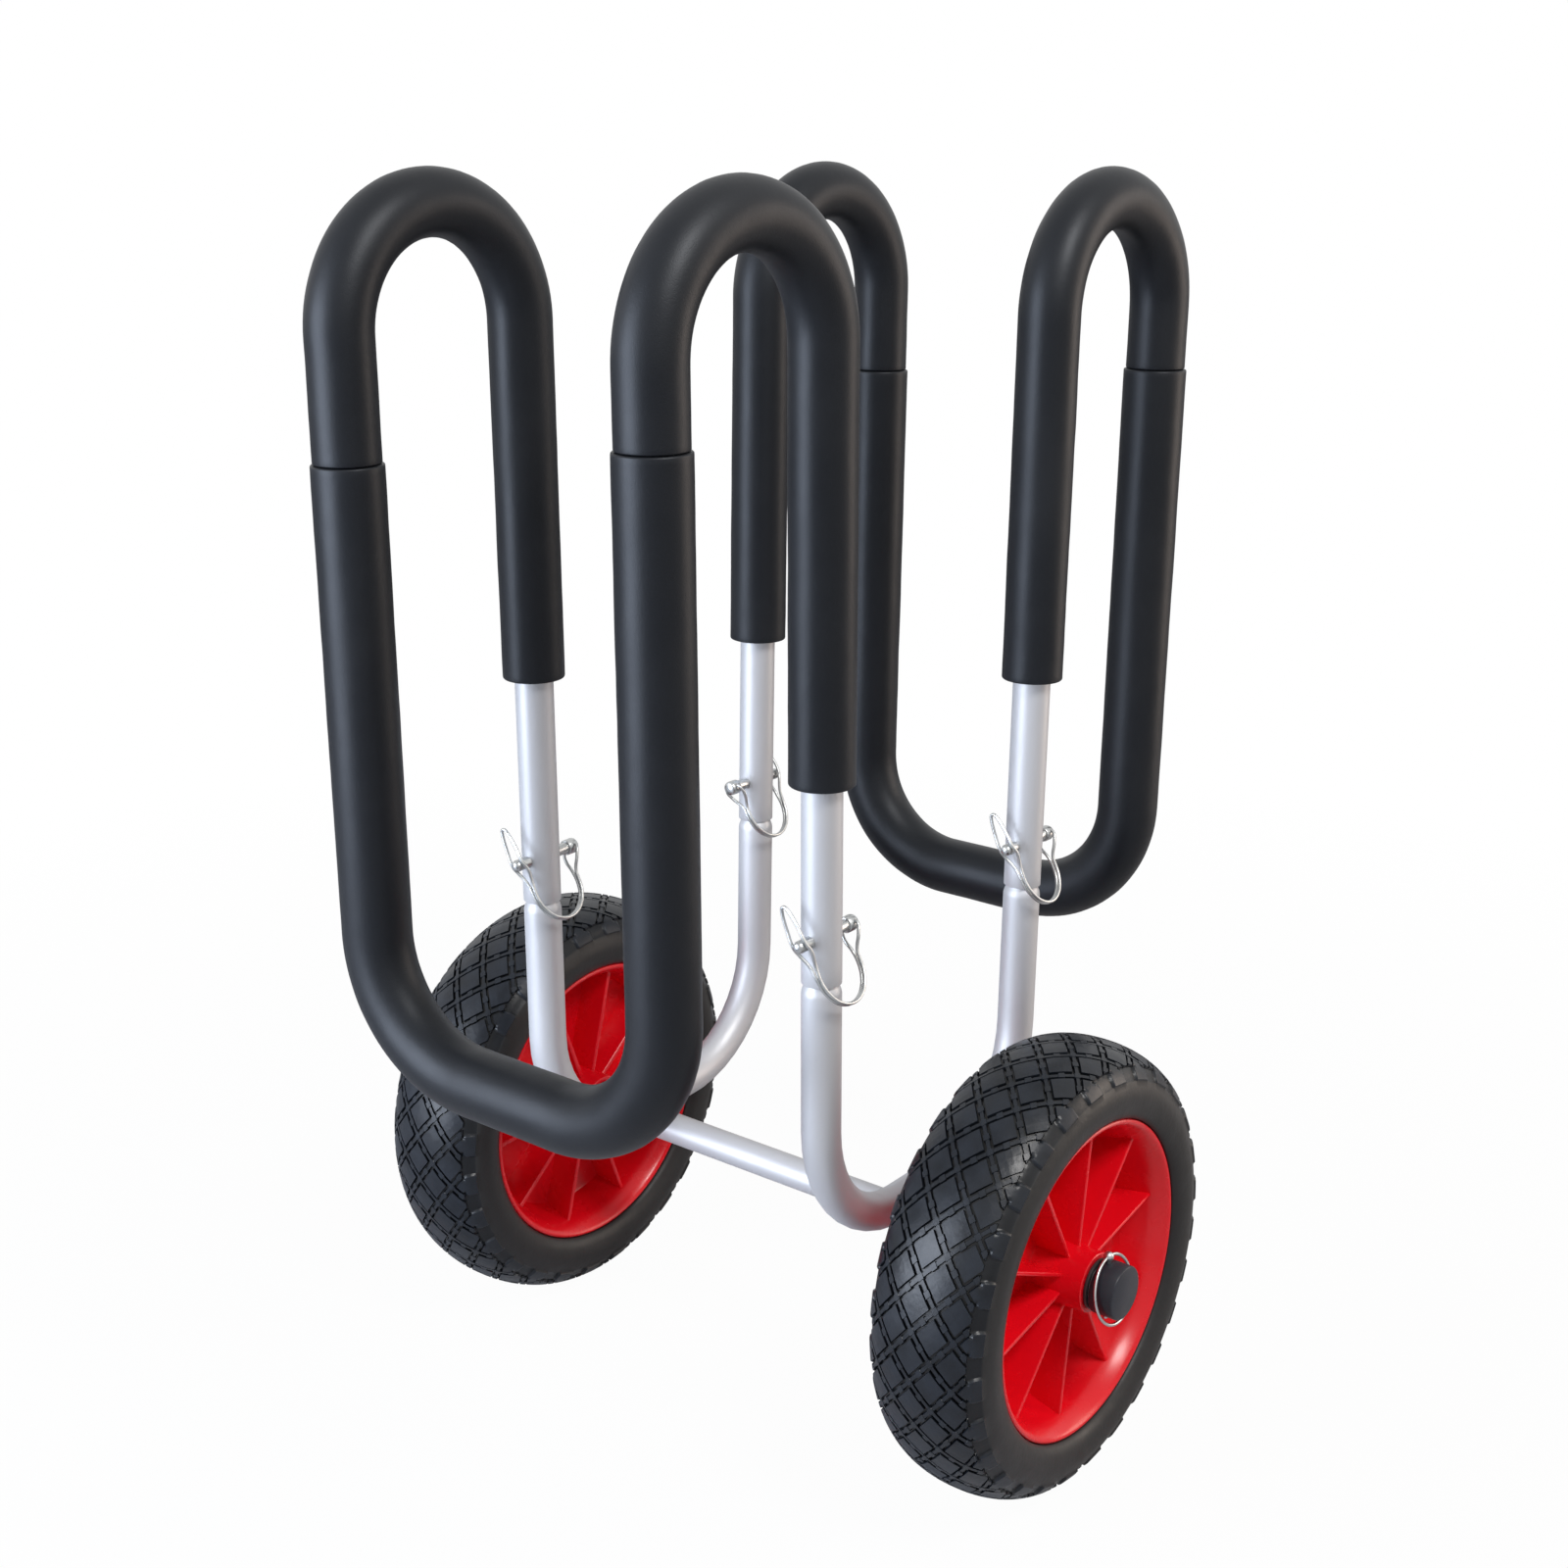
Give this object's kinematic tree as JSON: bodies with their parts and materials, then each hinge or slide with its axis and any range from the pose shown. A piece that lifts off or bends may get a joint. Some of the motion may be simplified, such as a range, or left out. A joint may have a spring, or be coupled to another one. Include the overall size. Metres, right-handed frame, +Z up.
{
  "type": "kayak cart",
  "caption": "Wheeled trolley: bent aluminium frames on an axle carry padded U-shaped hangers that hold a kayak or boards on edge.",
  "frame": {"origin": "on the ground under the middle of the axle", "axes": "+Z up, +X along the axle to the right wheel, +Y to the back"},
  "size_m": [0.555, 0.5742, 0.8399],
  "materials": {
    "aluminium": "satin anodised",
    "foam": "smooth closed-cell foam, satin",
    "tyre": "solid foam tyre with a block tread",
    "red_plastic": "moulded, glossy",
    "black_plastic": "moulded, satin",
    "nylon": "moulded",
    "zinc_steel": "bright zinc plate"
  },
  "bodies": {
    "frame": {"axle_tube": "aluminium", "left_base_frame": "aluminium", "right_base_frame": "aluminium", "front_left_arch_tube": "aluminium", "front_right_arch_tube": "aluminium", "back_left_arch_tube": "aluminium", "back_right_arch_tube": "aluminium", "front_left_arch_foam": "foam", "front_right_arch_foam": "foam", "back_left_arch_foam": "foam", "back_right_arch_foam": "foam", "front_cradle_tube": "aluminium", "back_cradle_tube": "aluminium", "front_cradle_foam": "foam", "back_cradle_foam": "foam", "left_outer_washer": "zinc_steel", "left_inner_washer": "zinc_steel", "right_outer_washer": "zinc_steel", "right_inner_washer": "zinc_steel", "left_stop_collar": "aluminium", "right_stop_collar": "aluminium", "left_axle_cap": "black_plastic", "right_axle_cap": "black_plastic", "left_clip_pin": "zinc_steel", "right_clip_pin": "zinc_steel"},
    "left_wheel": {"left_tyre": "tyre", "left_rim": "red_plastic", "left_outer_bush": "nylon", "left_inner_bush": "nylon"},
    "right_wheel": {"right_tyre": "tyre", "right_rim": "red_plastic", "right_outer_bush": "nylon", "right_inner_bush": "nylon"},
    "front_left_pin": {"front_left_lock_pin": "zinc_steel"},
    "front_right_pin": {"front_right_lock_pin": "zinc_steel"},
    "back_left_pin": {"back_left_lock_pin": "zinc_steel"},
    "back_right_pin": {"back_right_lock_pin": "zinc_steel"},
    "front_left_bow": {"front_left_pin_bow": "zinc_steel"},
    "front_right_bow": {"front_right_pin_bow": "zinc_steel"},
    "back_left_bow": {"back_left_pin_bow": "zinc_steel"},
    "back_right_bow": {"back_right_pin_bow": "zinc_steel"},
    "left_ring": {"left_clip_ring": "zinc_steel"},
    "right_ring": {"right_clip_ring": "zinc_steel"}
  },
  "joints": [
    {"name": "left_wheel_roll", "type": "hinge", "parent": "frame", "child": "left_wheel", "pos_m": [-0.215, 0, 0.1524], "axis": [1, 0, 0], "continuous": true},
    {"name": "right_wheel_roll", "type": "hinge", "parent": "frame", "child": "right_wheel", "pos_m": [0.215, 0, 0.1524], "axis": [1, 0, 0], "continuous": true},
    {"name": "front_left_pin_turn", "type": "hinge", "parent": "frame", "child": "front_left_pin", "pos_m": [-0.1185, -0.11592, 0.3925], "axis": [0, -0.9999, -0.014], "range_deg": [0, 120]},
    {"name": "front_right_pin_turn", "type": "hinge", "parent": "frame", "child": "front_right_pin", "pos_m": [0.1185, -0.11592, 0.3925], "axis": [0, -0.9999, -0.014], "range_deg": [0, 120]},
    {"name": "back_left_pin_turn", "type": "hinge", "parent": "frame", "child": "back_left_pin", "pos_m": [-0.1185, 0.11592, 0.3925], "axis": [0, -0.9999, 0.014], "range_deg": [0, 120]},
    {"name": "back_right_pin_turn", "type": "hinge", "parent": "frame", "child": "back_right_pin", "pos_m": [0.1185, 0.11592, 0.3925], "axis": [0, -0.9999, 0.014], "range_deg": [0, 120]},
    {"name": "front_left_bow_open", "type": "hinge", "parent": "front_left_pin", "child": "front_left_bow", "pos_m": [-0.1185, -0.08792, 0.39289], "axis": [0.866, -0.007, 0.5], "range_deg": [0, 120]},
    {"name": "front_right_bow_open", "type": "hinge", "parent": "front_right_pin", "child": "front_right_bow", "pos_m": [0.1185, -0.08792, 0.39289], "axis": [0.866, -0.007, 0.5], "range_deg": [0, 120]},
    {"name": "back_left_bow_open", "type": "hinge", "parent": "back_left_pin", "child": "back_left_bow", "pos_m": [-0.1185, 0.08792, 0.39289], "axis": [-0.866, -0.007, -0.5], "range_deg": [0, 120]},
    {"name": "back_right_bow_open", "type": "hinge", "parent": "back_right_pin", "child": "back_right_bow", "pos_m": [0.1185, 0.14392, 0.39211], "axis": [0.866, 0.007, 0.5], "range_deg": [0, 120]},
    {"name": "left_ring_swing", "type": "hinge", "parent": "frame", "child": "left_ring", "pos_m": [-0.264, 0, 0.1744], "axis": [0, 1, 0], "range_deg": [0, 160]},
    {"name": "right_ring_swing", "type": "hinge", "parent": "frame", "child": "right_ring", "pos_m": [0.264, 0, 0.1744], "axis": [0, -1, 0], "range_deg": [0, 160]}
  ]
}
